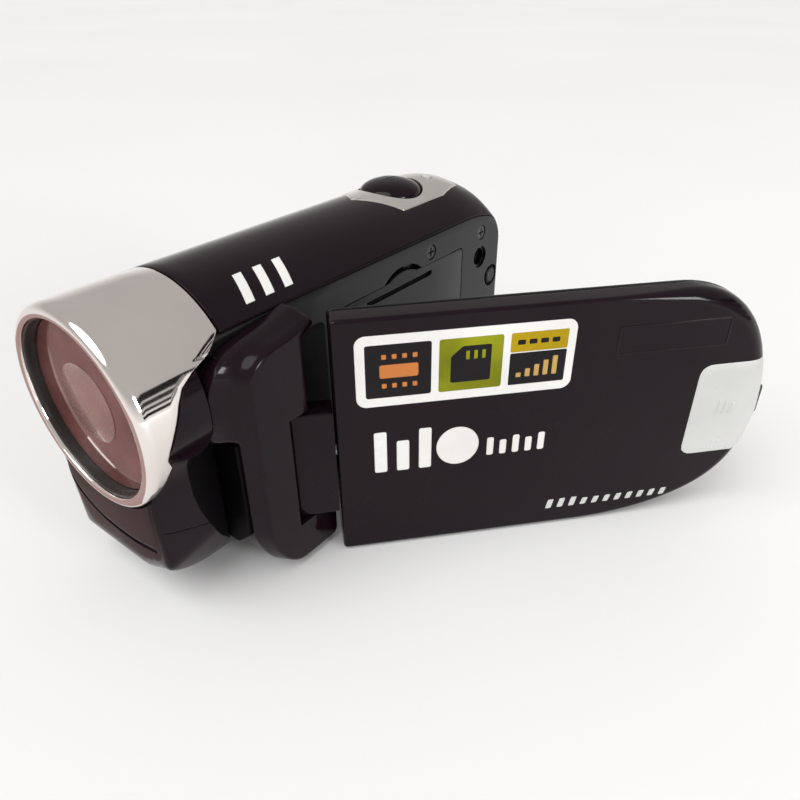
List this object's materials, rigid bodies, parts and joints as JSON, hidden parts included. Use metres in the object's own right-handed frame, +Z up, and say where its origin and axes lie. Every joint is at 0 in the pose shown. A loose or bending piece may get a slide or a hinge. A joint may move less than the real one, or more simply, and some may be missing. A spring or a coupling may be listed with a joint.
{
  "type": "camcorder",
  "caption": "Handheld camcorder with a chrome lens shroud, flat side wall, swivelling flip-out screen, battery door, zoom lever and rear push buttons.",
  "frame": {"origin": "on the flat base, under the middle of the body", "axes": "+Z up, the lens looks along -Y, the screen opens on the +X side"},
  "size_m": [0.1062, 0.1209, 0.063],
  "materials": {
    "chrome_shroud": "mirror-bright plated plastic",
    "gloss_black": "glossy black moulding",
    "satin_black": "satin black moulding",
    "lens_glass": "tinted clear window",
    "inner_black": "dull black moulding",
    "silver_paint": "silver paint on plastic",
    "steel": "plain steel",
    "brass": "plain brass",
    "circuit_board": "green solder mask",
    "grip_rubber": "ribbed soft rubber",
    "cell_wrap": "printed cell wrap",
    "label_print": "glossy sticker with plain coloured boxes",
    "indicator": "clear light pipe"
  },
  "bodies": {
    "body": {"front_shroud": "chrome_shroud", "front_fairing": "gloss_black", "chin_cover": "gloss_black", "barrel_cover": "gloss_black", "right_shell": "gloss_black", "rear_cover": "gloss_black", "hinge_housing": "gloss_black", "left_wall": "satin_black", "base_pan": "satin_black", "lens_window": "lens_glass", "front_lens": "lens_glass", "rear_lens": "lens_glass", "lens_mask": "inner_black", "lens_barrel": "inner_black", "image_sensor": "inner_black", "battery_tray": "inner_black", "av_jack": "inner_black", "speaker": "inner_black", "zoom_switch": "inner_black", "record_switch": "inner_black", "top_cap": "silver_paint", "lens_retainer": "steel", "wall_screw_front": "steel", "wall_screw_rear": "steel", "base_screw_1": "steel", "base_screw_2": "steel", "base_screw_3": "steel", "base_screw_4": "steel", "hinge_bracket": "steel", "hinge_pin": "steel", "card_socket": "steel", "usb_socket": "steel", "processor_can": "steel", "microphone": "steel", "tripod_bush": "brass", "battery_contact_plus": "brass", "battery_contact_minus": "brass", "sensor_board": "circuit_board", "main_board": "circuit_board", "grip_panel": "grip_rubber", "battery": "cell_wrap", "status_led": "indicator"},
    "yoke": {"swivel_block": "gloss_black", "swivel_shaft": "steel"},
    "screen": {"lcd_outer_cover": "gloss_black", "lcd_bezel": "satin_black", "lcd_window": "lens_glass", "lcd_module": "inner_black", "screen_board": "circuit_board", "panel_tab": "silver_paint", "feature_label": "label_print"},
    "record_button": {"record_button": "silver_paint"},
    "power_button": {"power_button": "satin_black"},
    "mode_button": {"mode_button": "satin_black"},
    "menu_button": {"menu_button": "satin_black"},
    "playback_button": {"playback_button": "satin_black"},
    "battery_door": {"battery_door": "satin_black"},
    "zoom_lever": {"zoom_lever": "gloss_black"},
    "side_button": {"side_button": "satin_black"}
  },
  "joints": [
    {"name": "lcd_open", "type": "hinge", "parent": "body", "child": "yoke", "pos_m": [0.0196, -0.0289, 0.023], "axis": [0, 0, -1], "range_deg": [-42, 48]},
    {"name": "lcd_swivel", "type": "hinge", "parent": "yoke", "child": "screen", "pos_m": [0.01878, -0.02816, 0.0245], "axis": [0.6691, 0.7431, 0], "range_deg": [0, 30]},
    {"name": "zoom_rock", "type": "hinge", "parent": "body", "child": "zoom_lever", "pos_m": [0, 0.0256, 0.0605], "axis": [0, 0, 1], "range_deg": [-15, 15], "stiffness_Nm_per_rad": 0.02},
    {"name": "side_button_push", "type": "slide", "parent": "body", "child": "side_button", "axis": [-1, 0, 0], "range_m": [0, 0.0004], "stiffness_N_per_m": 600},
    {"name": "battery_door_pull", "type": "slide", "parent": "body", "child": "battery_door", "axis": [1, 0, 0], "range_m": [0, 0.01]},
    {"name": "record_button_push", "type": "slide", "parent": "body", "child": "record_button", "axis": [0, -1, 0], "range_m": [0, 0.0005], "stiffness_N_per_m": 600},
    {"name": "power_button_push", "type": "slide", "parent": "body", "child": "power_button", "axis": [0, -1, 0], "range_m": [0, 0.0005], "stiffness_N_per_m": 600},
    {"name": "mode_button_push", "type": "slide", "parent": "body", "child": "mode_button", "axis": [0, -1, 0], "range_m": [0, 0.0005], "stiffness_N_per_m": 600},
    {"name": "menu_button_push", "type": "slide", "parent": "body", "child": "menu_button", "axis": [0, -1, 0], "range_m": [0, 0.0005], "stiffness_N_per_m": 600},
    {"name": "playback_button_push", "type": "slide", "parent": "body", "child": "playback_button", "axis": [0, -1, 0], "range_m": [0, 0.0005], "stiffness_N_per_m": 600}
  ]
}
